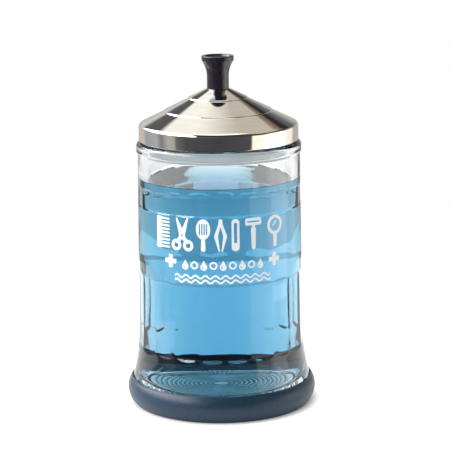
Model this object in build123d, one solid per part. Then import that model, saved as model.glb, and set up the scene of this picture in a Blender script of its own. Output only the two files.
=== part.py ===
from build123d import *
import os
from math import cos, pi, radians, sin, sqrt, tan

# Disinfectant jar: a pressed-glass jar standing in a rubber ring, with a lift-off metal lid.
# Sizes are in millimetres and angles in degrees. Z is the axis of the jar, z = 0 is the table
# that it stands on, and -Y is the printed front.

# --- rubber base ring ---
ring_ledge = 3.0  # rubber under the glass
ring_height = 15.5
ring_foot_inset = 1.05  # outer edge at the table, in from the glass foot
ring_wall = 3.1  # rubber outside the glass, at the belly
ring_lip = 0.8  # the same at the top edge
ring_belly_height = 8.0
ring_ledge_width = 14.0  # how far the ledge reaches in under the glass
tread_groove_count = 3
tread_first_inset = 2.24  # outermost groove, in from the ring's edge at the table
tread_groove_pitch = 3.2
tread_groove_width = 1.2
tread_groove_depth = 0.7

# --- glass jar ---
glass_height = 148.6  # underside to rim
neck_radius = 46.0  # outer wall just under the rim bead
wall_thickness = 4.9
wall_draft = 0.6
inside_draft = 0.3
bead_height = 6.6
bead_overhang = 0.8
bead_shoulder = 1.2
bead_rounding = 0.6
rim_outer_rounding = 2.4
rim_inner_rounding = 1.0
flare_height = 43.0  # underside to where the foot starts to spread
flare_radius = 129.0
heel_rounding = 5.0
base_thickness = 9.0
inside_corner = 4.0
punt_radius = 33.0  # raised middle of the underside
punt_depth = 1.5
punt_slope = 1.5
base_rib_count = 9
base_rib_pitch = 1.6
base_rib_width = 1.12
base_rib_depth = 0.35

# --- flat panels pressed into the outside ---
panel_count = 20
panel_turn = 2.5  # how far the nearest panel edge stands round from the front
panel_edge_depth = 0.04  # how deep neighbouring panels meet
upper_panel_below_rim = 25.0
upper_panel_height = 9.7
upper_run_out = 1.8
label_band_height = 40.0
flute_foot_height = 33.0  # underside to the lower end of the long panels
flute_top_run_out = 1.8
flute_foot_run_out = 3.7

# --- lid ---
sheet_thickness = 0.8
lid_inset = 0.8  # lid's band to the jar's neck
lid_band_height = 9.3  # to the sharp corner, before its rounding
lid_shoulder_rounding = 2.5
lid_edge_rounding = 1.0
lid_edge_turn_in = 1.6
cone_angle = 25.9
step_radii = (30.4, 16.6)
step_run = 0.35
step_drop = 0.65
step_rounding = 0.7
crown_radius = 6.7
crown_rounding = 0.5

# --- plug and seal ---
mouth_clearance = 0.6  # plug bead to the mouth of the jar
plug_bead = 0.7  # how far the bead stands out of the plug
plug_bead_height = 1.4
plug_wall = 1.8
plug_depth = 6.0  # below the rim
plug_flange_thickness = 2.0
plug_rounding = 0.5
seal_clearance = 0.3
seal_thickness = 1.4  # and so how high the lid's flange stands over the rim

# --- knob and its fixings ---
knob_height = 18.6
knob_stem_radius = 6.2
knob_stem_height = 7.0
knob_flare_radius = 15.6
knob_rim_radius = 9.1
knob_rim_height = 3.0
knob_rim_rounding = 0.5
knob_dish_radius = 7.4
knob_dish_depth = 1.2
knob_dish_slope = 0.6
knob_cap_thickness = 3.0  # knob left above the insert
insert_radius = 3.6
insert_groove_depth = 0.4
insert_groove_height = 3.0
screw_radius = 2.0
screw_clearance = 0.25
thread_clearance = 0.05
screw_tip_gap = 1.0  # from the screw's tip to the end of the insert
screw_tip_rounding = 0.5
screw_head_radius = 3.9
screw_head_height = 2.4
screw_head_rounding = 1.0
screw_slot_width = 1.0
screw_slot_depth = 1.1
washer_radius = 5.0
washer_thickness = 0.8

# --- heights and radii that follow from these ---
underside = ring_ledge
rim = underside + glass_height
bead_foot = rim - bead_height
flare_top = underside + flare_height
glass_floor = underside + base_thickness
half_panel = radians(180 / panel_count)
mouth_radius = neck_radius - wall_thickness
lid_radius = neck_radius - lid_inset
seal_top = rim + seal_thickness
lid_edge = seal_top - sheet_thickness
lid_corner = lid_edge + lid_band_height
plug_radius = mouth_radius - mouth_clearance - plug_bead
band_inner_radius = lid_radius - sheet_thickness


def wall_radius(height):
    """Radius of the jar's smooth outer wall: a drafted wall that flares into the foot."""
    if height >= flare_top:
        return neck_radius + (bead_foot - height) * tan(radians(wall_draft))
    centre_radius = wall_radius(flare_top) + flare_radius * cos(radians(wall_draft))
    centre_height = flare_top + flare_radius * sin(radians(wall_draft))
    return centre_radius - sqrt(flare_radius**2 - (height - centre_height) ** 2)


foot_radius = wall_radius(ring_height)
ring_foot_radius = foot_radius - ring_foot_inset


def cone_drop(inner_radius, outer_radius):
    """How far the lid's cone falls between two radii."""
    return (outer_radius - inner_radius) * tan(radians(cone_angle))


crown = (
    lid_corner
    + cone_drop(crown_radius, lid_radius)
    + len(step_radii) * (step_drop - cone_drop(0, step_run))
)
washer_foot = crown - sheet_thickness - washer_thickness
insert_top = crown + knob_height - knob_cap_thickness


def outline(*corners):
    """A closed section in the XZ plane, from (radius, height, rounding) corners."""
    points = [(radius, 0, height) for radius, height, _ in corners]
    roundings = [rounding for _, _, rounding in corners]
    return make_face(FilletPolyline(*points, radius=roundings, close=True))


def turned(*corners):
    """A solid of revolution about Z."""
    return revolve(outline(*corners), Axis.Z)


def tube(inner_radius, outer_radius, low, high):
    return turned(
        (inner_radius, low, 0), (outer_radius, low, 0), (outer_radius, high, 0), (inner_radius, high, 0)
    )


def wall_curve(low, high, share=1.0):
    """The outer wall's line between two heights, with its radius times a share."""
    def point(height):
        return (wall_radius(height) * share, 0, height)

    curves = []
    if low < flare_top:
        bend_end = min(high, flare_top)
        curves.append(ThreePointArc(point(low), point((low + bend_end) / 2), point(bend_end)))
    if high > flare_top:
        curves.append(Line(point(max(low, flare_top)), point(high)))
    return curves


def panel_cutter(low, high, low_run_out, high_run_out):
    """What one flat panel takes off the wall. Its ends run out to the surface in shallow arcs."""
    share = cos(half_panel) * (1 - panel_edge_depth / neck_radius)
    low_end = (wall_radius(low - low_run_out), 0, low - low_run_out)
    high_end = (wall_radius(high + high_run_out), 0, high + high_run_out)
    outside = 2 * foot_radius  # anywhere clear of the glass
    face = wall_curve(low, high, share)
    section = make_face(
        [
            Line(low_end, face[0] @ 0),
            *face,
            Line(face[-1] @ 1, high_end),
            Line(high_end, (outside, 0, high_end[2])),
            Line((outside, 0, high_end[2]), (outside, 0, low_end[2])),
            Line((outside, 0, low_end[2]), low_end),
        ]
    )
    return extrude(section, amount=outside * tan(half_panel), both=True)


def around(cutter):
    """Copies of a cutter, one at each panel. The first edge stands panel_turn round from the front."""
    pitch = 360 / panel_count
    first = -90 + panel_turn + pitch / 2
    return [Rot(0, 0, first + pitch * i) * cutter for i in range(panel_count)]


def make_glass_jar():
    outside = Polyline(
        (0, 0, underside + punt_depth),
        (punt_radius - punt_slope, 0, underside + punt_depth),
        (punt_radius, 0, underside),
        (foot_radius - heel_rounding, 0, underside),
    )
    heel = ThreePointArc(
        outside @ 1,
        (
            foot_radius - heel_rounding * (1 - sin(pi / 4)),
            0,
            underside + heel_rounding * (1 - cos(pi / 4)),
        ),
        (foot_radius, 0, underside + heel_rounding),
    )
    foot = Line(heel @ 1, (foot_radius, 0, ring_height))
    wall = wall_curve(ring_height, bead_foot)
    bead_radius = neck_radius + bead_overhang
    floor_radius = mouth_radius - (rim - glass_floor) * tan(radians(inside_draft))
    mouth = FilletPolyline(
        wall[-1] @ 1,
        (bead_radius, 0, bead_foot + bead_shoulder),
        (bead_radius, 0, rim),
        (mouth_radius, 0, rim),
        (floor_radius, 0, glass_floor),
        (0, 0, glass_floor),
        radius=[bead_rounding, rim_outer_rounding, rim_inner_rounding, inside_corner],
    )
    axis = Line(mouth @ 1, outside @ 0)
    jar = revolve(make_face([*outside.edges(), heel, foot, *wall, *mouth.edges(), axis]), Axis.Z)

    upper_top = rim - upper_panel_below_rim
    upper_foot = upper_top - upper_panel_height
    flute_top = upper_foot - label_band_height
    flute_foot = underside + flute_foot_height
    jar -= around(panel_cutter(upper_foot, upper_top, upper_run_out, upper_run_out))
    jar -= around(panel_cutter(flute_foot, flute_top, flute_foot_run_out, flute_top_run_out))
    return jar - base_ribs()


def base_ribs():
    """Fine round grooves under the base, which leave ribs between them."""
    outermost = punt_radius - 2 * punt_slope
    high = underside + punt_depth
    half = base_rib_width / 2
    grooves = []
    for i in range(base_rib_count):
        middle = outermost - base_rib_pitch * (i + 0.5)
        grooves.append(
            turned((middle - half, high, 0), (middle + half, high, 0), (middle, high + base_rib_depth, 0))
        )
    return grooves


def make_base_ring():
    bore = foot_radius
    belly = bore + ring_wall
    lip_edge = bore + ring_lip
    ledge_radius = bore - ring_ledge_width
    outer = ThreePointArc(
        (ring_foot_radius, 0, 0), (belly, 0, ring_belly_height), (lip_edge, 0, ring_height - ring_lip / 2)
    )
    lip = ThreePointArc(
        outer @ 1, (bore + ring_lip / 2, 0, ring_height), (bore, 0, ring_height - ring_lip / 2)
    )
    inner = Polyline(
        lip @ 1, (bore, 0, ring_ledge), (ledge_radius, 0, ring_ledge), (ledge_radius, 0, 0), outer @ 0
    )
    ring = revolve(make_face([outer, lip, *inner.edges()]), Axis.Z)
    treads = []
    for i in range(tread_groove_count):
        groove_edge = ring_foot_radius - tread_first_inset - tread_groove_pitch * i
        treads.append(tube(groove_edge - tread_groove_width, groove_edge, 0, tread_groove_depth))
    return ring - treads


def make_lid_shell():
    """One sheet: flat crown, three cone tiers with small steps, band, and an edge turned in."""
    corners = [(crown_radius, crown, crown_rounding)]
    for step_radius in reversed(step_radii):
        radius, height, _ = corners[-1]
        ledge = height - cone_drop(radius, step_radius)
        corners.append((step_radius, ledge, step_rounding))
        corners.append((step_radius + step_run, ledge - step_drop, step_rounding))
    corners.append((lid_radius, lid_corner, lid_shoulder_rounding))
    corners.append((lid_radius, lid_edge, lid_edge_rounding))
    skin = FilletPolyline(
        (screw_radius + screw_clearance, 0, crown),
        *[(radius, 0, height) for radius, height, _ in corners],
        (lid_radius - lid_edge_turn_in, 0, lid_edge),
        radius=[rounding for _, _, rounding in corners],
    )
    lining = offset(skin, amount=sheet_thickness, side=Side.RIGHT, closed=False)
    ends = [Line(skin @ 1, lining @ 0), Line(lining @ 1, skin @ 0)]
    return revolve(make_face([*skin.edges(), *lining.edges(), *ends]), Axis.Z)


def make_lid_liner():
    """The plug: a flange held in the lid's turned-in edge, and a skirt with a bead under the seal."""
    flange_top = seal_top + plug_flange_thickness
    bead_top = rim - seal_clearance
    bead_foot_height = bead_top - plug_bead_height
    foot = rim - plug_depth
    return turned(
        (plug_radius - plug_wall, foot, 0),
        (plug_radius, foot, plug_rounding),
        (plug_radius, bead_foot_height, 0),
        (plug_radius + plug_bead, bead_foot_height + plug_bead_height / 2, plug_rounding),
        (plug_radius, bead_top, 0),
        (plug_radius, seal_top, 0),
        (band_inner_radius, seal_top, plug_rounding),
        (band_inner_radius, flange_top, plug_rounding),
        (plug_radius - plug_wall, flange_top, plug_rounding),
    )


def make_lid_seal():
    inner = plug_radius + seal_clearance
    outer = lid_radius - lid_edge_turn_in - seal_clearance
    return tube(inner, outer, rim, seal_top)


def make_knob():
    stem_top = crown + knob_stem_height
    top = crown + knob_height
    rim_foot = top - knob_rim_height
    rise = rim_foot - stem_top
    flare_run = knob_flare_radius - sqrt(knob_flare_radius**2 - rise**2)
    half_run = knob_flare_radius - sqrt(knob_flare_radius**2 - (rise / 2) ** 2)
    flare = ThreePointArc(
        (knob_stem_radius, 0, stem_top),
        (knob_stem_radius + half_run, 0, stem_top + rise / 2),
        (knob_stem_radius + flare_run, 0, rim_foot),
    )
    head = FilletPolyline(
        flare @ 1,
        (knob_rim_radius, 0, rim_foot + knob_rim_rounding),
        (knob_rim_radius, 0, top),
        (knob_dish_radius, 0, top),
        (knob_dish_radius - knob_dish_slope, 0, top - knob_dish_depth),
        (0, 0, top - knob_dish_depth),
        radius=[knob_rim_rounding / 2, knob_rim_rounding, knob_rim_rounding, knob_rim_rounding],
    )
    stem = Polyline(head @ 1, (0, 0, crown), (knob_stem_radius, 0, crown), flare @ 0)
    knob = revolve(make_face([flare, *head.edges(), *stem.edges()]), Axis.Z)
    return knob - tube(0, insert_radius, crown, insert_top) + insert_collar()


def insert_collar():
    """The knob's plastic that fills the groove round the insert and keeps it in."""
    middle = (crown + insert_top) / 2
    low = middle - insert_groove_height / 2
    return tube(insert_radius - insert_groove_depth, insert_radius, low, low + insert_groove_height)


def make_knob_insert():
    bore = screw_radius + thread_clearance
    return tube(bore, insert_radius, crown, insert_top) - insert_collar()


def make_knob_screw():
    """A slotted pan-head screw from inside the lid, its thread left plain."""
    head_foot = washer_foot - screw_head_height
    screw = turned(
        (0, head_foot, 0),
        (screw_head_radius, head_foot, screw_head_rounding),
        (screw_head_radius, washer_foot, 0),
        (screw_radius, washer_foot, 0),
        (screw_radius, insert_top - screw_tip_gap, screw_tip_rounding),
        (0, insert_top - screw_tip_gap, 0),
    )
    slot = Box(2 * screw_head_radius, screw_slot_width, 2 * screw_slot_depth)
    return screw - Pos(0, 0, head_foot) * slot


def make_knob_washer():
    return tube(screw_radius + screw_clearance, washer_radius, washer_foot, crown - sheet_thickness)


nodes = {
    "base_ring": make_base_ring(),
    "glass_jar": make_glass_jar(),
    "lid_seal": make_lid_seal(),
    "lid_liner": make_lid_liner(),
    "lid_shell": make_lid_shell(),
    "knob": make_knob(),
    "knob_insert": make_knob_insert(),
    "knob_screw": make_knob_screw(),
    "knob_washer": make_knob_washer(),
}

os.makedirs("parts", exist_ok=True)
for name, solid in nodes.items():
    export_step(solid, f"parts/{name}.step")
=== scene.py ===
from math import atan2, ceil, cos, hypot, pi, radians, sin, sqrt, tan

import bpy
import numpy as np
from mathutils import Euler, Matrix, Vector


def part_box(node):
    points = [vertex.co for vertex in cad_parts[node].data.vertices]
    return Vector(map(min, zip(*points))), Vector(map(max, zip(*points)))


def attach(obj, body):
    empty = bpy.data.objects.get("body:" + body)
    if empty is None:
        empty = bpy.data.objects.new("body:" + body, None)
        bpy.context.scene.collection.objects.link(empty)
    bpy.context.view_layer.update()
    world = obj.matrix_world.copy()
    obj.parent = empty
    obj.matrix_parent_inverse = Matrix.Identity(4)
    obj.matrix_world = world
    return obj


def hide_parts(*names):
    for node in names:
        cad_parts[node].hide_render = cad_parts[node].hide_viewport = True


# A disinfectant jar: glass body in a rubber ring, blue liquid, white enamel print and a
# bright metal lid with a black knob. Lengths are in millimetres until a mesh is made.
MM = 0.001
GLASS_INDEX, LIQUID_INDEX = 1.5, 1.33

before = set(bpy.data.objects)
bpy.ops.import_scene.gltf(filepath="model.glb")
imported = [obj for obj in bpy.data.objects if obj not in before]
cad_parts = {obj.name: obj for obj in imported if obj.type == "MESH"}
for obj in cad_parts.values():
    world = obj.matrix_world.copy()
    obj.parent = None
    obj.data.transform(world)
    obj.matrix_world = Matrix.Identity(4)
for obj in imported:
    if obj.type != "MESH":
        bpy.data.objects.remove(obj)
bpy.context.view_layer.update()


def height_mm(node):
    """Lowest and highest height of a CAD node, in millimetres."""
    low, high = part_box(node)
    return low.z / MM, high.z / MM


def radius_mm(node):
    """Outer radius of a CAD node, in millimetres."""
    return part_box(node)[1].x / MM


# ---------------------------------------------------------------- outlines and lathe work

def rounded(corners, closed=True, arc_step=radians(9)):
    """Points of an outline through (radius, height, rounding) corners, with arcs at the corners."""
    count = len(corners)
    points = []
    for i, (x, y, rounding) in enumerate(corners):
        here = Vector((x, y))
        if rounding == 0 or (not closed and i in (0, count - 1)):
            points.append((x, y))
            continue
        before = (Vector(corners[i - 1][:2]) - here).normalized()
        after = (Vector(corners[(i + 1) % count][:2]) - here).normalized()
        half = before.angle(after) / 2
        reach = rounding / tan(half)
        centre = here + (before + after).normalized() * (rounding / sin(half))
        start = here + before * reach - centre
        turn = pi - 2 * half
        side = 1 if before.x * after.y - before.y * after.x < 0 else -1
        steps = max(3, ceil(turn / arc_step))
        for k in range(steps + 1):
            angle = side * turn * k / steps
            points.append(
                (
                    centre.x + start.x * cos(angle) - start.y * sin(angle),
                    centre.y + start.x * sin(angle) + start.y * cos(angle),
                )
            )
    return points


def mesh_object(name, vertices, faces, sharp_angle=radians(32)):
    """A smooth-shaded object from millimetre vertices. Edges over the sharp angle stay crisp."""
    mesh = bpy.data.meshes.new(name)
    mesh.from_pydata((np.array(vertices) * MM).tolist(), [], faces)
    mesh.validate()
    mesh.polygons.foreach_set("use_smooth", np.ones(len(mesh.polygons), bool))
    mesh.set_sharp_from_angle(angle=sharp_angle)
    mesh.update()
    piece = bpy.data.objects.new(name, mesh)
    bpy.context.scene.collection.objects.link(piece)
    return piece


def grid_faces(rows, segments, close_rows):
    """Quads between rings of vertices, given counter-clockwise seen from outside."""
    faces = []
    for row in range(rows if close_rows else rows - 1):
        above = (row + 1) % rows
        for i in range(segments):
            j = (i + 1) % segments
            faces.append(
                (row * segments + i, row * segments + j, above * segments + j, above * segments + i)
            )
    return faces


def spun_rings(rings, segments, name, closed):
    """A mesh from rings: each is a (radii, height) pair, where radii is a number or one per segment."""
    angles = np.arange(segments) * 2 * pi / segments - pi / 2
    around = np.stack([np.cos(angles), np.sin(angles)], 1)
    vertices = []
    for radii, height in rings:
        ring = around * np.broadcast_to(np.reshape(radii, (-1, 1)), (segments, 1))
        vertices.append(np.hstack([ring, np.full((segments, 1), height)]))
    vertices = np.vstack(vertices)
    faces = grid_faces(len(rings), segments, closed)
    if not closed:
        first, last = len(vertices), len(vertices) + 1
        vertices = np.vstack([vertices, [[0, 0, rings[0][1]], [0, 0, rings[-1][1]]]])
        top = (len(rings) - 1) * segments
        for i in range(segments):
            j = (i + 1) % segments
            faces.append((j, i, first))
            faces.append((top + i, top + j, last))
    return mesh_object(name, vertices, faces)


def turned(name, corners, segments=160, closed=True):
    """A solid of revolution. A closed outline makes a ring; an open one starts and ends near the axis."""
    return spun_rings(rounded(corners, closed), segments, name, closed)


# ---------------------------------------------------------------- materials

def material(name):
    """A new node material and its Principled shader."""
    made = bpy.data.materials.new(name)
    made.use_nodes = True
    return made, made.node_tree.nodes["Principled BSDF"]


def value_node(tree, operation, *inputs):
    """Arithmetic on sockets and numbers."""
    node = tree.nodes.new("ShaderNodeMath")
    node.operation = operation
    for socket, given in zip(node.inputs, inputs):
        if isinstance(given, (int, float)):
            socket.default_value = given
        else:
            tree.links.new(given, socket)
    return node.outputs[0]


def noise(tree, scale, detail=3.0, stretch=(1, 1, 1)):
    """A noise texture in object space, at this many waves a metre."""
    place = tree.nodes.new("ShaderNodeTexCoord")
    mapping = tree.nodes.new("ShaderNodeMapping")
    mapping.inputs["Scale"].default_value = stretch
    texture = tree.nodes.new("ShaderNodeTexNoise")
    texture.inputs["Scale"].default_value = scale
    texture.inputs["Detail"].default_value = detail
    tree.links.new(place.outputs["Object"], mapping.inputs["Vector"])
    tree.links.new(mapping.outputs["Vector"], texture.inputs["Vector"])
    return texture.outputs["Fac"]


def ranged(tree, value, low, high):
    """A value from 0.3 to 0.7, where most noise lies, stretched to low to high."""
    scale = tree.nodes.new("ShaderNodeMapRange")
    scale.inputs["From Min"].default_value = 0.3
    scale.inputs["From Max"].default_value = 0.7
    scale.inputs["To Min"].default_value = low
    scale.inputs["To Max"].default_value = high
    tree.links.new(value, scale.inputs["Value"])
    return scale.outputs["Result"]


def tinted(tree, value, dark, light):
    """A colour between two, by a value."""
    mix = tree.nodes.new("ShaderNodeMix")
    mix.data_type = "RGBA"
    mix.inputs["A"].default_value = (*dark, 1)
    mix.inputs["B"].default_value = (*light, 1)
    tree.links.new(ranged(tree, value, 0, 1), mix.inputs["Factor"])
    return mix.outputs["Result"]


def ramp(tree, value, stops):
    """A colour that changes along (value, colour) stops."""
    node = tree.nodes.new("ShaderNodeValToRGB")
    elements = node.color_ramp.elements
    elements.remove(elements[1])
    elements[0].position, elements[0].color = stops[0][0], (*stops[0][1], 1)
    for position, colour in stops[1:]:
        elements.new(position).color = (*colour, 1)
    tree.links.new(value, node.inputs["Fac"])
    return node.outputs["Color"]


def mixed(tree, factor, first, second):
    """A colour from first to second, each a socket or three numbers."""
    node = tree.nodes.new("ShaderNodeMix")
    node.data_type = "RGBA"
    tree.links.new(factor, node.inputs["Factor"])
    for name, given in (("A", first), ("B", second)):
        if isinstance(given, tuple):
            node.inputs[name].default_value = (*given, 1)
        else:
            tree.links.new(given, node.inputs[name])
    return node.outputs["Result"]


def grey(level):
    return (level, level, level)


def object_axis(tree, axis):
    """The X, Y or Z coordinate on the object, in metres."""
    place = tree.nodes.new("ShaderNodeTexCoord")
    split = tree.nodes.new("ShaderNodeSeparateXYZ")
    tree.links.new(place.outputs["Object"], split.inputs["Vector"])
    return split.outputs[axis]


def distance_from_axis(tree, beside=0.0):
    """Distance in metres from an upright line, this far to the right of the object's axis."""
    x = value_node(tree, "SUBTRACT", object_axis(tree, "X"), beside)
    y = object_axis(tree, "Y")
    x_squared, y_squared = (value_node(tree, "MULTIPLY", part, part) for part in (x, y))
    return value_node(tree, "SQRT", value_node(tree, "ADD", x_squared, y_squared))


def bumped(tree, shader, value, depth):
    """Raises the surface by a value, depth metres high."""
    bump = tree.nodes.new("ShaderNodeBump")
    bump.inputs["Distance"].default_value = depth
    tree.links.new(value, bump.inputs["Height"])
    tree.links.new(bump.outputs["Normal"], shader.inputs["Normal"])


def glass_material(name, index):
    """Clear glass. The index is against what touches the glass: air, or the liquid."""
    made, shader = material(name)
    tree = made.node_tree
    shader.inputs["Base Color"].default_value = (0.97, 0.99, 0.99, 1)
    shader.inputs["Transmission Weight"].default_value = 1
    shader.inputs["IOR"].default_value = index
    shader.inputs["Roughness"].default_value = 0.0
    bumped(tree, shader, noise(tree, 45, 1.0), 0.0004)
    return made


def liquid_material():
    """Blue liquid. Where it touches the glass, the glass bends the light, so its own index is 1."""
    kept, density = (0.15, 0.603, 0.772), 36.0  # what light keeps, and how soon the rest is gone
    from_side, from_top = 0.03, 0.01  # how close to the edges the free surface is told apart
    made, shader = material("blue_liquid")
    tree = made.node_tree
    shader.inputs["Base Color"].default_value = (1, 1, 1, 1)
    shader.inputs["Transmission Weight"].default_value = 1
    shader.inputs["IOR"].default_value = LIQUID_INDEX
    shader.inputs["Roughness"].default_value = 0.0
    side = inner_radius(LIQUID_LEVEL) + LIQUID_OVERLAP
    inside = value_node(tree, "LESS_THAN", distance_from_axis(tree), (side - from_side) * MM)
    surface = value_node(tree, "GREATER_THAN", object_axis(tree, "Z"), (LIQUID_LEVEL - from_top) * MM)
    free = value_node(tree, "MULTIPLY", inside, surface)
    tree.links.new(value_node(tree, "MULTIPLY_ADD", free, LIQUID_INDEX - 1, 1.0), shader.inputs["IOR"])
    absorb = tree.nodes.new("ShaderNodeVolumeAbsorption")
    absorb.inputs["Color"].default_value = (*kept, 1)
    absorb.inputs["Density"].default_value = density
    tree.links.new(absorb.outputs["Volume"], tree.nodes["Material Output"].inputs["Volume"])
    return made


def chrome_material():
    """Polished metal with faint marks round the lid from spinning."""
    made, shader = material("polished_metal")
    tree = made.node_tree
    shader.inputs["Metallic"].default_value = 1
    grain = noise(tree, 60, 4.0, (1, 1, 12))
    tree.links.new(tinted(tree, grain, (0.80, 0.79, 0.77), (0.87, 0.86, 0.84)), shader.inputs["Base Color"])
    tree.links.new(ranged(tree, grain, 0.03, 0.06), shader.inputs["Roughness"])
    bumped(tree, shader, grain, 0.000003)
    return made


def knob_material():
    """Glossy black plastic."""
    made, shader = material("black_plastic")
    tree = made.node_tree
    speckle = noise(tree, 500, 4.0)
    colour = tinted(tree, speckle, (0.011, 0.0095, 0.015), (0.017, 0.015, 0.022))
    tree.links.new(colour, shader.inputs["Base Color"])
    tree.links.new(ranged(tree, speckle, 0.10, 0.18), shader.inputs["Roughness"])
    bumped(tree, shader, speckle, 0.000002)
    return made


def rubber_material():
    """Navy rubber with a fine moulded grain."""
    made, shader = material("navy_rubber")
    tree = made.node_tree
    speckle = noise(tree, 700, 5.0)
    colour = tinted(tree, speckle, (0.003, 0.019, 0.043), (0.006, 0.026, 0.056))
    tree.links.new(colour, shader.inputs["Base Color"])
    tree.links.new(ranged(tree, speckle, 0.34, 0.46), shader.inputs["Roughness"])
    shader.inputs["Specular IOR Level"].default_value = 0.42
    bumped(tree, shader, speckle, 0.00006)
    return made


def milky_material(name, dark, light):
    """Natural, half-clear plastic or silicone."""
    made, shader = material(name)
    tree = made.node_tree
    cloud = noise(tree, 250, 3.0)
    tree.links.new(tinted(tree, cloud, dark, light), shader.inputs["Base Color"])
    tree.links.new(ranged(tree, cloud, 0.32, 0.45), shader.inputs["Roughness"])
    shader.inputs["Transmission Weight"].default_value = 0.45
    shader.inputs["IOR"].default_value = 1.45
    bumped(tree, shader, cloud, 0.00004)
    return made


def enamel_material():
    """White fired print."""
    made, shader = material("white_enamel")
    tree = made.node_tree
    grain = noise(tree, 1500, 3.0)
    tree.links.new(tinted(tree, grain, (0.80, 0.86, 0.88), (0.90, 0.94, 0.95)), shader.inputs["Base Color"])
    tree.links.new(ranged(tree, grain, 0.35, 0.5), shader.inputs["Roughness"])
    bumped(tree, shader, grain, 0.00001)
    return made


def plain_metal(name, dark, light, roughness):
    """Turned brass or plated steel."""
    made, shader = material(name)
    tree = made.node_tree
    shader.inputs["Metallic"].default_value = 1
    grain = noise(tree, 400, 4.0, (1, 1, 8))
    tree.links.new(tinted(tree, grain, dark, light), shader.inputs["Base Color"])
    tree.links.new(ranged(tree, grain, roughness * 0.8, roughness * 1.25), shader.inputs["Roughness"])
    bumped(tree, shader, grain, 0.00002)
    return made


def dress(piece, made, body, replaced=()):
    """Gives a piece its material and body, and hides the CAD nodes it stands for."""
    piece.data.materials.clear()
    piece.data.materials.append(made)
    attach(piece, body)
    if replaced:
        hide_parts(*replaced)


# ---------------------------------------------------------------- glass jar

PANELS = 20
PANEL_TURN = radians(2.5)  # from the front to the nearest panel edge
PANEL_EDGE_DEPTH = 0.04  # how deep neighbouring panels meet
SEGMENTS_PER_PANEL = 20
SEGMENTS = PANELS * SEGMENTS_PER_PANEL
WALL_DRAFT = radians(0.6)
UNDERSIDE, RIM = height_mm("glass_jar")
FOOT_RADIUS = radius_mm("glass_jar")
RING_TOP = height_mm("base_ring")[1]
BEAD_FOOT = RIM - 6.6
NECK_RADIUS = 46.0
WALL = 4.9
FLARE_TOP = UNDERSIDE + 43.0
FLARE_RADIUS = 129.0  # of the arc from the wall out to the foot
FLOOR = UNDERSIDE + 9.0
INSIDE_CORNER = 4.0
MOUTH_RADIUS = NECK_RADIUS - WALL
FLOOR_RADIUS = MOUTH_RADIUS - (RIM - FLOOR) * tan(WALL_DRAFT / 2)
EDGE_SOFTNESS = 0.12  # over which a panel's edge rounds into its neighbour
LIQUID_LEVEL = RIM - 21.4
LIQUID_OVERLAP = 0.12  # into the glass, so that light crosses from one to the other
MENISCUS = 0.9  # how far the liquid climbs the glass

# Two rows of flat panels. Each is its lower run-out's end, its foot, its top and its upper run-out's end.
UPPER_TOP = RIM - 25.0
UPPER_FOOT = UPPER_TOP - 9.7
FLUTE_TOP = UPPER_FOOT - 40.0
FLUTE_FOOT = UNDERSIDE + 33.0
PANEL_ROWS = (
    (FLUTE_FOOT - 3.7, FLUTE_FOOT, FLUTE_TOP, FLUTE_TOP + 1.8),
    (UPPER_FOOT - 1.8, UPPER_FOOT, UPPER_TOP, UPPER_TOP + 1.8),
)

# The raised middle of the underside, and the rings of dots on it
PUNT_RADIUS = 33.0
PUNT_HEIGHT = UNDERSIDE + 1.5
PUNT_SLOPE = 1.5
DOT_RINGS = 13
DOT_PITCH = 2.1
DOT_DEPTH = 0.6


def wall_radius(height):
    """Radius of the smooth outer wall: drafted, then flaring into the foot."""
    if height >= FLARE_TOP:
        return NECK_RADIUS + (BEAD_FOOT - height) * tan(WALL_DRAFT)
    centre_radius = wall_radius(FLARE_TOP) + FLARE_RADIUS * cos(WALL_DRAFT)
    centre_height = FLARE_TOP + FLARE_RADIUS * sin(WALL_DRAFT)
    return centre_radius - sqrt(FLARE_RADIUS**2 - (height - centre_height) ** 2)


def panel_distance(height):
    """How far the flat panels' planes stand from the axis at a height, or None between rows."""
    share = cos(pi / PANELS) * (1 - PANEL_EDGE_DEPTH / NECK_RADIUS)
    for low_end, foot, top, high_end in PANEL_ROWS:
        if foot <= height <= top:
            return wall_radius(height) * share
        for end, start in ((low_end, foot), (high_end, top)):
            if min(end, start) <= height <= max(end, start):
                part = (height - start) / (end - start)
                part = part * part * (3 - 2 * part)
                return (1 - part) * wall_radius(start) * share + part * wall_radius(end)
    return None


def outer_ring(height):
    """Radius of the outside at each segment, with the flat panels pressed in."""
    wall = np.full(SEGMENTS, wall_radius(height))
    distance = panel_distance(height)
    if distance is None:
        return wall
    place = np.arange(SEGMENTS) / SEGMENTS_PER_PANEL
    off_centre = (place - np.floor(place) - 0.5) * 2 * pi / PANELS
    flat = distance / np.cos(off_centre)
    gap = np.clip(0.5 + 0.5 * (wall - flat) / EDGE_SOFTNESS, 0, 1)
    return wall * (1 - gap) + flat * gap - EDGE_SOFTNESS * gap * (1 - gap)


def wall_heights():
    """Heights of the outer wall's rings, close together where the panels run out."""
    marks = [RING_TOP, *[h for row in PANEL_ROWS for h in row], BEAD_FOOT - 1.0]
    heights = []
    for low, high in zip(marks, marks[1:]):
        spacing = 0.3 if high - low < 5 else 3.0
        count = max(2, round((high - low) / spacing))
        heights += [low + (high - low) * k / count for k in range(count)]
    return heights + [marks[-1]]


def inner_radius(height):
    """Radius of the inside, which is drafted half as much as the outside."""
    return FLOOR_RADIUS + (MOUTH_RADIUS - FLOOR_RADIUS) * (height - FLOOR) / (RIM - FLOOR)


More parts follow.
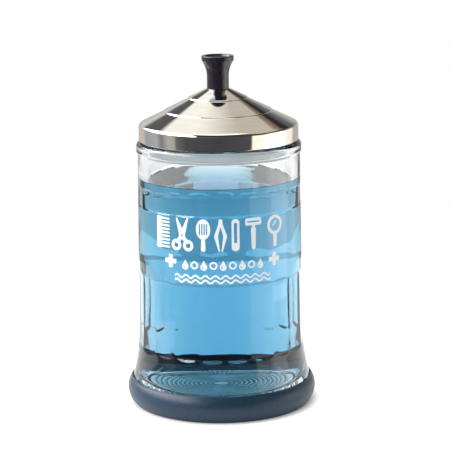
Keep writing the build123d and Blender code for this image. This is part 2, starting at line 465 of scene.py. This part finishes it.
def dotted_middle():
    """Points from the middle of the underside outwards, with a groove for each ring of dots."""
    points = [(1.2, PUNT_HEIGHT, 0)]
    half = DOT_PITCH * 0.35
    for i in reversed(range(DOT_RINGS)):
        middle = PUNT_RADIUS - 2 * PUNT_SLOPE - DOT_PITCH * (i + 0.5)
        points += [
            (middle - half, PUNT_HEIGHT, 0),
            (middle, PUNT_HEIGHT + DOT_DEPTH, 0),
            (middle + half, PUNT_HEIGHT, 0),
        ]
    return points


def part_into_dots(glass):
    """Fills every other two segments of the grooves under the base, which leaves rings of dots."""
    for vertex in glass.data.vertices:
        radius, height = hypot(vertex.co.x, vertex.co.y) / MM, vertex.co.z / MM
        grooved = radius < PUNT_RADIUS - PUNT_SLOPE and 0 < height - PUNT_HEIGHT < DOT_DEPTH + 0.01
        segment = round(atan2(vertex.co.y, vertex.co.x) / (2 * pi) * SEGMENTS)
        if grooved and segment // 2 % 2:
            vertex.co.z = PUNT_HEIGHT * MM


def make_glass():
    """The jar in one skin: underside and heel, panelled wall, then bead, mouth and inside."""
    bead_radius, bead_rounding, heel = NECK_RADIUS + 0.8, 2.4, 5.0
    wet_height = LIQUID_LEVEL + MENISCUS
    bottom = [
        *dotted_middle(),
        (PUNT_RADIUS - PUNT_SLOPE, PUNT_HEIGHT, 0.6),
        (PUNT_RADIUS, UNDERSIDE, 0.8),
        (FOOT_RADIUS, UNDERSIDE, heel),
        (FOOT_RADIUS, RING_TOP - 0.6, 0),
    ]
    wall = [(outer_ring(h), h) for h in wall_heights()]
    mouth = [
        (wall_radius(BEAD_FOOT - 0.5), BEAD_FOOT - 0.5, 0),
        (wall_radius(BEAD_FOOT), BEAD_FOOT, 0.6),
        (bead_radius, BEAD_FOOT + 1.2, 0.6),
        (bead_radius, RIM, bead_rounding),
        (MOUTH_RADIUS, RIM, 1.0),
        (inner_radius(wet_height), wet_height, 0),
        (FLOOR_RADIUS, FLOOR, INSIDE_CORNER),
        (2.0, FLOOR, 0),
    ]
    rings = [*rounded(bottom, closed=False), *wall, *rounded(mouth, closed=False)]
    glass = spun_rings(rings, SEGMENTS, "glass", closed=False)
    part_into_dots(glass)
    glass.data.transform(Euler((0, 0, PANEL_TURN)).to_matrix().to_4x4())
    return glass


def wet_inside(glass, made):
    """Gives a second material to the glass faces that the liquid touches."""
    below, beyond = 0.05, 0.3  # how far outside the liquid a face's middle may be
    glass.data.materials.append(made)
    for face in glass.data.polygons:
        radius, height = hypot(face.center.x, face.center.y) / MM, face.center.z / MM
        if FLOOR - below < height < LIQUID_LEVEL + MENISCUS and radius < inner_radius(height) + beyond:
            face.material_index = 1


# ---------------------------------------------------------------- liquid

def make_liquid():
    """The liquid, whose surface curls up to the glass at its edge."""
    curl_width, curl_power = 3.2, 2.6
    wall = inner_radius(LIQUID_LEVEL) + LIQUID_OVERLAP
    surface = [
        (wall - curl_width * (1 - part), LIQUID_LEVEL + MENISCUS * part**curl_power)
        for part in np.linspace(1, 0, 10)
    ]
    outline = rounded(
        [
            (2.0, FLOOR - LIQUID_OVERLAP, 0),
            (FLOOR_RADIUS + LIQUID_OVERLAP, FLOOR - LIQUID_OVERLAP, INSIDE_CORNER),
            (wall, LIQUID_LEVEL, 0),
        ],
        closed=False,
    )
    return spun_rings([*outline, *surface, (2.0, LIQUID_LEVEL)], 200, "liquid", closed=False)


# ---------------------------------------------------------------- enamel print

# Signs of a salon's tools, drawn as distances in millimetres: below zero is inside. u runs round
# the wall to the right of the front, and v is the height.
PRINT_LOW, PRINT_HIGH = (-42, 76), (42, 118)
PRINT_STEP = 0.25
PRINT_SUNK, PRINT_THICKNESS = 0.03, 0.07


def disc(u, v, radius):
    """A round disc about the origin."""
    return np.hypot(u, v) - radius


def bar(u, v, start, end, thickness, end_thickness=None):
    """A round-ended bar, whose thickness may change along it."""
    along_u, along_v = end[0] - start[0], end[1] - start[1]
    part = ((u - start[0]) * along_u + (v - start[1]) * along_v) / (along_u**2 + along_v**2)
    part = np.clip(part, 0, 1)
    away = np.hypot(u - start[0] - part * along_u, v - start[1] - part * along_v)
    grown = (thickness if end_thickness is None else end_thickness) - thickness
    return away - (thickness + grown * part) / 2


def block(u, v, width, height, corner=0.4):
    """An upright rectangle with rounded corners."""
    du, dv = np.abs(u) - width / 2 + corner, np.abs(v) - height / 2 + corner
    outside = np.hypot(np.maximum(du, 0), np.maximum(dv, 0))
    return outside + np.minimum(np.maximum(du, dv), 0) - corner


def joined(*shapes):
    """All the shapes together."""
    return np.minimum.reduce(shapes)


def cut(shape, *holes):
    """A shape without its holes."""
    return np.maximum.reduce([shape, *[-hole for hole in holes]])


def comb(u, v):
    teeth = [bar(u, v, (-2.5, y), (4.2, y), 1.25, 0.9) for y in np.linspace(-7.9, 7.9, 9)]
    return joined(block(u + 3.2, v, 3.4, 18, 1.2), *teeth)


def scissors(u, v):
    shapes = []
    for side in (-1, 1):
        blade = bar(u, v, (side * 3.3, 8.8), (0, -0.6), 0.9, 3.4)
        arm = bar(u, v, (0, -0.6), (-side * 2.9, -4.4), 2.6, 1.8)
        ring = np.abs(np.hypot((u + side * 3.6) / 0.95, v + 6.1) - 2.35) - 0.85
        shapes += [blade, arm, ring]
    return cut(joined(*shapes), disc(u, v + 0.6, 0.6))


def hair_brush(u, v):
    head = np.hypot(u / 4.0, (v - 3.3) / 5.7) - 1
    slits = [bar(u, v, (x, 0.4), (x, 6.2), 0.65) for x in (-1.95, -0.65, 0.65, 1.95)]
    return joined(cut(head * 4.0, *slits), bar(u, v, (0, -1.5), (0, -7.9), 2.0, 2.6))


def tweezers(u, v):
    shapes = [bar(u, v, (0, 8.0), (0, 6.9), 2.2)]
    for side in (-1, 1):
        shapes.append(bar(u, v, (0, 7.6), (side * 2.5, -0.5), 1.3, 2.1))
        shapes.append(bar(u, v, (side * 2.5, -0.5), (side * 0.8, -8.7), 2.1, 0.8))
    return joined(*shapes)


def nail_file(u, v):
    return cut(block(u, v, 4.4, 18, 2.1), block(u, v - 1.2, 1.7, 11.5, 0.8))


def razor(u, v):
    head = cut(block(u, v - 6.9, 9.6, 4.2, 1.0), bar(u, v, (-3.2, 6.9), (3.2, 6.9), 0.8))
    return joined(head, bar(u, v, (0, 5.4), (0, 3.4), 1.8), bar(u, v, (0, 2.6), (0, -7.5), 3.0, 2.4))


def hand_mirror(u, v):
    face = cut(disc(u, v - 3.6, 5.4), disc(u, v - 3.6, 3.7))
    gleam = bar(u, v, (-1.5, 3.3), (0.9, 5.7), 0.8)
    return joined(face, gleam, bar(u, v, (0, -1.6), (0, -7.8), 2.6, 2.2))


def cross(u, v):
    return joined(block(u, v, 7.4, 2.5, 0.3), block(u, v, 2.5, 7.4, 0.3))


def drop(u, v):
    body = disc(u, v + 0.9, 1.9)
    tip = bar(u, v, (0, -0.9), (0, 2.7), 3.8, 0.3)
    return cut(joined(body, tip), bar(u, v, (-0.9, -0.9), (-0.5, -1.5), 0.6))


def bubble(u, v):
    return np.abs(disc(u, v, 1.75)) - 0.5


def waves(u, v):
    """Two wavy lines, one over the other."""
    swing, turns, half_length = 0.8, 2 * pi / 5.54, 27.7
    rise = swing * np.sin(u * turns)
    slope = swing * turns * np.cos(u * turns)
    lines = [np.abs(v - level - rise) / np.sqrt(1 + slope**2) - 0.5 for level in (-1.3, 1.3)]
    return np.maximum(joined(*lines), np.abs(u) - half_length)


def print_signs():
    """Each sign with the place of its middle: round the wall, then the height."""
    tools, crosses, drops, lines = 106.2, 90.6, 89.2, 81.4
    signs = [
        (comb, -34.0, tools),
        (scissors, -21.4, tools),
        (hair_brush, -9.2, tools),
        (tweezers, 0.4, tools),
        (nail_file, 8.6, tools),
        (razor, 18.9, tools),
        (hand_mirror, 33.0, tools),
        (cross, -28.9, crosses),
        (cross, 32.1, crosses),
        (waves, 1.5, lines),
    ]
    for i, u in enumerate(np.linspace(-19.6, 22.8, 9)):
        signs.append((bubble if i % 2 else drop, u, drops))
    return signs


def print_distances():
    """Places round the wall, heights, and the distance to the nearest sign at each crossing."""
    us = np.arange(PRINT_LOW[0], PRINT_HIGH[0], PRINT_STEP)
    vs = np.arange(PRINT_LOW[1], PRINT_HIGH[1], PRINT_STEP)
    u, v = np.meshgrid(us, vs, indexing="ij")
    nearest = np.full(u.shape, 1.0)
    for shape, middle_u, middle_v in print_signs():
        nearest = np.minimum(nearest, shape(u - middle_u, v - middle_v))
    return us, vs, nearest


def print_cells():
    """The signs' area as points and the faces between them, cut off where the distance is zero."""
    us, vs, field = print_distances()
    numbers, points, cells = {}, [], []

    def point(key, u, v):
        if key not in numbers:
            numbers[key] = len(points)
            points.append((u, v))
        return numbers[key]

    inside = field < 0
    touched = inside[:-1, :-1] | inside[1:, :-1] | inside[1:, 1:] | inside[:-1, 1:]
    for i, j in np.argwhere(touched):
        ring = [(i, j), (i + 1, j), (i + 1, j + 1), (i, j + 1)]
        cell = []
        for here, after in zip(ring, ring[1:] + ring[:1]):
            a, b = field[here], field[after]
            if a < 0:
                cell.append(point(here, us[here[0]], vs[here[1]]))
            if (a < 0) != (b < 0):
                part = a / (a - b)
                u = us[here[0]] + part * (us[after[0]] - us[here[0]])
                v = vs[here[1]] + part * (vs[after[1]] - vs[here[1]])
                cell.append(point((min(here, after), max(here, after)), u, v))
        if len(cell) > 2:
            cells.append(cell)
    return points, cells


def make_print():
    """A thin solid skin of every sign, bent round the wall and sunk a little into it."""
    points, cells = print_cells()
    count = len(points)
    vertices = []
    for lift in (-PRINT_SUNK, PRINT_THICKNESS):
        for u, v in points:
            radius = wall_radius(v) + lift
            angle = u / NECK_RADIUS
            vertices.append((radius * sin(angle), -radius * cos(angle), v))
    edges = dict.fromkeys((a, b) for cell in cells for a, b in zip(cell, cell[1:] + cell[:1]))
    faces = [[k + count for k in cell] for cell in cells] + [cell[::-1] for cell in cells]
    faces += [(a, b, b + count, a + count) for a, b in edges if (b, a) not in edges]
    return mesh_object("enamel_print", vertices, faces)


# ---------------------------------------------------------------- base ring, lid and knob

FIT = 0.06  # the air between the rubber and the glass


def make_base_ring():
    """The rubber ring: one arc outside, a small round lip, a ledge under the glass and a tread."""
    bore, foot, lip = FOOT_RADIUS + FIT, 50.0, 0.8
    belly, belly_height = radius_mm("base_ring"), 8.0
    seat, opening = UNDERSIDE - FIT, bore - 14.0
    grooves, groove_pitch, groove_width, groove_depth = 3, 3.2, 1.2, 0.7
    lip_radius, lip_middle = bore + lip / 2, RING_TOP - lip / 2
    outside = arc_through(
        Vector((foot, 0)), Vector((belly, belly_height)), Vector((bore + lip, lip_middle)), 28
    )
    outline = [tuple(point) for point in outside]
    for turn in np.linspace(0.25, pi, 7):
        outline.append((lip_radius + lip / 2 * cos(turn), lip_middle + lip / 2 * sin(turn)))
    outline += [(bore, seat), (opening, seat), (opening, 0)]
    for i in reversed(range(grooves)):
        edge = foot - groove_pitch * (i + 0.7)
        inner = edge - groove_width
        outline += [(inner, 0), (inner, groove_depth), (edge, groove_depth), (edge, 0)]
    return spun_rings(outline, 240, "rubber_ring", closed=True)


def arc_through(a, b, c, steps):
    """Points along the circle through three points."""
    d = 2 * (a.x * (b.y - c.y) + b.x * (c.y - a.y) + c.x * (a.y - b.y))
    aa, bb, cc = a.length_squared, b.length_squared, c.length_squared
    centre = Vector(
        (
            (aa * (b.y - c.y) + bb * (c.y - a.y) + cc * (a.y - b.y)) / d,
            (aa * (c.x - b.x) + bb * (a.x - c.x) + cc * (b.x - a.x)) / d,
        )
    )
    first = atan2(a.y - centre.y, a.x - centre.x)
    last = atan2(c.y - centre.y, c.x - centre.x)
    radius = (a - centre).length
    return [centre + radius * Vector((cos(t), sin(t))) for t in np.linspace(first, last, steps + 1)]


SHEET = 0.8  # the lid's thickness
LID_RADIUS = 45.2
LID_EDGE, CROWN = height_mm("lid_shell")
CONE_ANGLE = radians(25.9)


def lid_corners(inset):
    """The lid's skin from its flat crown down to its shoulder, moved inside by inset."""
    crown_radius, crown_rounding, shoulder_rounding = 6.7, 0.5, 2.5
    step_run, step_drop, step_rounding = 0.35, 0.65, 0.7
    corners = [(crown_radius, CROWN, crown_rounding)]
    for step_radius in (16.6, 30.4):
        radius, height = corners[-1][:2]
        ledge = height - (step_radius - radius) * tan(CONE_ANGLE)
        corners.append((step_radius, ledge, step_rounding))
        corners.append((step_radius + step_run, ledge - step_drop, step_rounding))
    radius, height = corners[-1][:2]
    corners.append((LID_RADIUS, height - (LID_RADIUS - radius) * tan(CONE_ANGLE), shoulder_rounding))
    lowered = inset / cos(CONE_ANGLE)
    moved = [(r, h - lowered, rounding) for r, h, rounding in corners]
    moved[0] = (crown_radius, CROWN - inset, max(crown_rounding - inset, 0) + 0.3)
    last_radius, last_height, rounding = moved[-1]
    moved[-1] = (last_radius - inset, last_height + inset * tan(CONE_ANGLE), rounding - inset)
    return moved


def make_lid_shell():
    """The spun metal: cone tiers, an upright band and a turned-in edge, with a hole for the screw."""
    hole, turn_in = 2.25, LID_RADIUS - 1.6
    outer = [(hole, CROWN, 0), *lid_corners(0), (LID_RADIUS, LID_EDGE, 0.6), (turn_in, LID_EDGE, 0)]
    inner = [
        (turn_in, LID_EDGE + SHEET, 0),
        (LID_RADIUS - SHEET, LID_EDGE + SHEET, 0.2),
        *reversed(lid_corners(SHEET)),
        (hole, CROWN - SHEET, 0),
    ]
    outline = [*reversed(outer + inner)]
    return turned("lid_metal", outline, 240)


def make_knob():
    """A straight stem that flares in one arc to a rim with a dished top."""
    low, high = height_mm("knob")
    bore, stem, rim = 3.7, 6.2, radius_mm("knob")
    stem_top, rim_foot = low + 7.0, high - 3.0
    flare = 15.6
    dish_radius, dish_floor, dish_depth = 7.4, 6.8, 1.2
    curve = []
    for height in np.linspace(stem_top, rim_foot, 12):
        curve.append((stem + flare - sqrt(flare**2 - (height - stem_top) ** 2), height, 0))
    outline = [
        (bore, low, 0),
        (stem, low, 0.15),
        *curve,
        (rim, rim_foot + 0.5, 0.25),
        (rim, high, 0.5),
        (dish_radius, high, 0.5),
        (dish_floor, high - dish_depth, 0.5),
        (1.5, high - dish_depth, 0),
    ]
    return turned("knob_moulding", outline, 120, closed=False)


# ---------------------------------------------------------------- building the pieces

materials = {
    "glass": glass_material("clear_glass", GLASS_INDEX),
    "wet_glass": glass_material("wet_glass", GLASS_INDEX / LIQUID_INDEX),
    "liquid": liquid_material(),
    "chrome": chrome_material(),
    "knob": knob_material(),
    "rubber": rubber_material(),
    "enamel": enamel_material(),
    "seal": milky_material("seal_silicone", (0.10, 0.38, 0.58), (0.16, 0.48, 0.66)),
    "liner": milky_material("milky_plastic", (0.84, 0.93, 0.97), (0.92, 0.97, 1.0)),
    "brass": plain_metal("brass", (0.70, 0.48, 0.20), (0.80, 0.58, 0.28), 0.3),
    "steel": plain_metal("zinc_steel", (0.55, 0.55, 0.56), (0.68, 0.68, 0.68), 0.28),
}
glass = make_glass()
dress(glass, materials["glass"], "jar", ["glass_jar"])
wet_inside(glass, materials["wet_glass"])
dress(make_liquid(), materials["liquid"], "jar")
dress(make_print(), materials["enamel"], "jar")
dress(make_base_ring(), materials["rubber"], "jar", ["base_ring"])
dress(make_lid_shell(), materials["chrome"], "lid", ["lid_shell"])
dress(make_knob(), materials["knob"], "lid", ["knob"])
for node, made in (
    ("lid_seal", "seal"),
    ("lid_liner", "liner"),
    ("knob_insert", "brass"),
    ("knob_screw", "steel"),
    ("knob_washer", "steel"),
):
    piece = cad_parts[node]
    piece.data.materials.clear()
    piece.data.materials.append(materials[made])


# ---------------------------------------------------------------- floor, light and camera

def make_floor():
    """A white oval table top, which glows round the object and is dark under it: the dark is a painted
    shadow.
    """
    wide, deep, back, corners = 0.36, 0.25, 0.125, 96
    turns = [2 * pi * i / corners for i in range(corners)]
    rim = [(wide * cos(turn), back + deep * sin(turn), 0) for turn in turns]
    mesh = bpy.data.meshes.new("floor")
    mesh.from_pydata(rim, [], [tuple(range(corners))])
    floor = bpy.data.objects.new("floor", mesh)
    bpy.context.scene.collection.objects.link(floor)
    made, shader = material("pale_floor")
    tree = made.node_tree
    tree.links.new(tinted(tree, noise(tree, 30, 3.0), grey(0.29), grey(0.31)), shader.inputs["Base Color"])
    # The painted shadow stands a little to the right. A ramp takes 0 to 1, so distances are in decimetres.
    decimetres = value_node(tree, "MULTIPLY", distance_from_axis(tree, 0.001), 10)
    # The glow fades to nothing towards the object, a painted shadow round and under it.
    glow_with_painted_shadow = ramp(tree, decimetres, [(0.485, grey(0)), (0.565, grey(0.88))])
    tree.links.new(glow_with_painted_shadow, shader.inputs["Emission Color"])
    shader.inputs["Emission Strength"].default_value = 1
    shader.inputs["Roughness"].default_value = 0.8
    shader.inputs["Specular IOR Level"].default_value = 0
    mesh.materials.append(made)


def share(tree, value):
    """A direction's part from -1 to 1, as 0 to 1."""
    return value_node(tree, "MULTIPLY_ADD", value, 0.5, 0.5)


def glossy_room(tree, x, y, turn, height):
    """What reflections see: a dark room in front, a warm soft box on the right, a pale backdrop
    behind, a warm ceiling and a tall soft box on the left."""
    around = ramp(
        tree,
        turn,
        [
            (0.0, (0.55, 0.53, 0.50)),
            (0.12, (0.62, 0.58, 0.50)),
            (0.145, (0.40, 0.40, 0.42)),
            (0.22, (0.46, 0.46, 0.49)),
            (0.25, (0.24, 0.24, 0.25)),
            (0.285, (0.50, 0.47, 0.43)),
            (0.315, (0.46, 0.42, 0.37)),
            (0.325, (0.16, 0.15, 0.15)),
            (0.37, (0.085, 0.08, 0.085)),
            (0.50, (0.065, 0.063, 0.07)),
            (0.632, (0.085, 0.083, 0.088)),
            (0.638, (1.25, 1.15, 0.98)),
            (0.69, (1.3, 1.2, 1.02)),
            (0.71, (2.6, 2.5, 2.4)),
            (0.79, (2.6, 2.5, 2.4)),
            (0.81, (1.2, 1.1, 0.95)),
            (0.86, (1.1, 1.0, 0.85)),
            (0.88, (0.5, 0.46, 0.41)),
            (1.0, (0.55, 0.53, 0.50)),
        ],
    )
    bright, warm, zenith = (1.12, 1.08, 0.97), (0.60, 0.55, 0.46), (1.9, 1.9, 1.85)
    left_sky = ramp(
        tree,
        height,
        [
            (0.0, grey(0.8)),
            (0.58, grey(0.8)),
            (0.625, grey(0.13)),
            (0.71, grey(0.10)),
            (0.735, bright),
            (0.87, bright),
            (0.91, zenith),
        ],
    )
    right_sky = ramp(
        tree,
        height,
        [
            (0.0, grey(0.5)),
            (0.5, grey(0.5)),
            (0.53, (0.18, 0.175, 0.20)),
            (0.64, (0.12, 0.118, 0.13)),
            (0.665, grey(0.03)),
            (0.69, grey(0.03)),
            (0.70, (0.20, 0.13, 0.10)),
            (0.725, (0.34, 0.25, 0.19)),
            (0.735, warm),
            (0.87, warm),
            (0.91, zenith),
        ],
    )
    side = ramp(tree, value_node(tree, "MULTIPLY_ADD", x, 2.0, 0.5), [(0.15, grey(0)), (0.85, grey(1))])
    upward = mixed(tree, side, left_sky, right_sky)
    blend = ramp(tree, height, [(0.0, grey(0)), (0.53, grey(0)), (0.62, grey(1)), (1.0, grey(1))])
    room = mixed(tree, blend, around, upward)
    # The camera's side is dark above the horizon, up to the ceiling light.
    front = ramp(tree, share(tree, y), [(0.33, grey(1)), (0.45, grey(0))])
    low = ramp(tree, height, [(0.53, grey(0)), (0.6, grey(1)), (0.87, grey(1)), (0.9, grey(0))])
    room = mixed(tree, value_node(tree, "MULTIPLY", front, low), room, grey(0.05))
    leftward = ramp(tree, share(tree, x), [(0.2, grey(1)), (0.26, grey(0))])
    tall = ramp(tree, height, [(0.58, grey(0)), (0.62, grey(1)), (0.78, grey(1)), (0.82, grey(0))])
    return mixed(tree, value_node(tree, "MULTIPLY", leftward, tall), room, (9.5, 9.2, 9.2))


def matt_room(tree, turn, height):
    """What lights matt surfaces: more from the left than from the camera's side."""
    matt = ramp(
        tree,
        turn,
        [
            (0.0, grey(1.1)),
            (0.18, grey(1.6)),
            (0.25, grey(2.0)),
            (0.36, grey(1.0)),
            (0.45, grey(0.25)),
            (0.58, grey(0.25)),
            (0.72, grey(0.9)),
            (1.0, grey(1.1)),
        ],
    )
    above = ramp(tree, height, [(0.0, grey(0)), (0.6, grey(0)), (0.75, grey(1)), (1.0, grey(1))])
    return mixed(tree, above, matt, grey(1.25))


def seen_through_glass(tree, height):
    """White, and a little darker towards the horizon, as the far end of a studio table."""
    stops = (0.0, 1), (0.425, 1), (0.431, 0.97), (0.441, 0.88), (0.455, 0.86), (0.5, 0.95), (1.0, 1)
    return ramp(tree, height, [(place, grey(level)) for place, level in stops])


def studio_world():
    """Plain white to the camera, with different surroundings for glass, gloss and matt surfaces."""
    world = bpy.data.worlds.new("studio")
    bpy.context.scene.world = world
    world.use_nodes = True
    tree = world.node_tree
    coordinates = tree.nodes.new("ShaderNodeTexCoord")
    split = tree.nodes.new("ShaderNodeSeparateXYZ")
    tree.links.new(coordinates.outputs["Generated"], split.inputs["Vector"])
    x, y, z = (split.outputs[axis] for axis in "XYZ")
    # Turn is 0 behind the object, 0.25 at its left, 0.5 on the camera's side and 0.75 at its right.
    turn = value_node(tree, "ARCTAN2", x, value_node(tree, "MULTIPLY", y, -1))
    turn = value_node(tree, "ADD", value_node(tree, "DIVIDE", turn, 2 * pi), 0.5)
    # Height is 0 straight down, 0.5 at the horizon and 1 straight up.
    height = value_node(tree, "DIVIDE", value_node(tree, "ARCSINE", z), pi)
    height = value_node(tree, "ADD", height, 0.5)
    path = tree.nodes.new("ShaderNodeLightPath")
    seen = glossy_room(tree, x, y, turn, height)
    seen = mixed(tree, path.outputs["Is Diffuse Ray"], seen, matt_room(tree, turn, height))
    seen = mixed(tree, path.outputs["Is Transmission Ray"], seen, seen_through_glass(tree, height))
    seen = mixed(tree, path.outputs["Is Camera Ray"], seen, grey(1))
    tree.links.new(seen, tree.nodes["Background"].inputs["Color"])


def soft_light(name, place, aim, size, watts):
    """A white rectangle of light that reflections don't show."""
    lamp = bpy.data.lights.new(name, "AREA")
    lamp.shape = "RECTANGLE"
    lamp.size, lamp.size_y = size
    lamp.energy = watts
    light = bpy.data.objects.new(name, lamp)
    light.location = place
    light.rotation_euler = (Vector(aim) - Vector(place)).to_track_quat("-Z", "Y").to_euler()
    light.visible_glossy = False
    light.visible_transmission = False
    light.visible_camera = False
    bpy.context.scene.collection.objects.link(light)


def make_camera():
    """The camera in front of the object, looking down at it."""
    distance, height = 1.083, 0.330
    pitch, pan, roll = radians(11.87), radians(-0.16), radians(-0.7)
    focal_pixels, frame_pixels, sensor = 1935, 450, 36
    lens = bpy.data.cameras.new("camera")
    lens.sensor_width = sensor
    lens.lens = focal_pixels / frame_pixels * sensor
    lens.clip_start = 0.01
    camera = bpy.data.objects.new("camera", lens)
    camera.location = (0, -distance, height)
    look = Euler((pi / 2 - pitch, 0, pan), "XYZ").to_matrix()
    camera.rotation_euler = (look @ Euler((0, 0, roll)).to_matrix()).to_euler()
    bpy.context.scene.collection.objects.link(camera)
    bpy.context.scene.camera = camera


make_floor()
studio_world()
soft_light("key", (-0.5, 0.35, 0.9), (0, 0, 0.08), (0.5, 0.5), 1.2)
make_camera()
bpy.context.scene.view_settings.view_transform = "Standard"
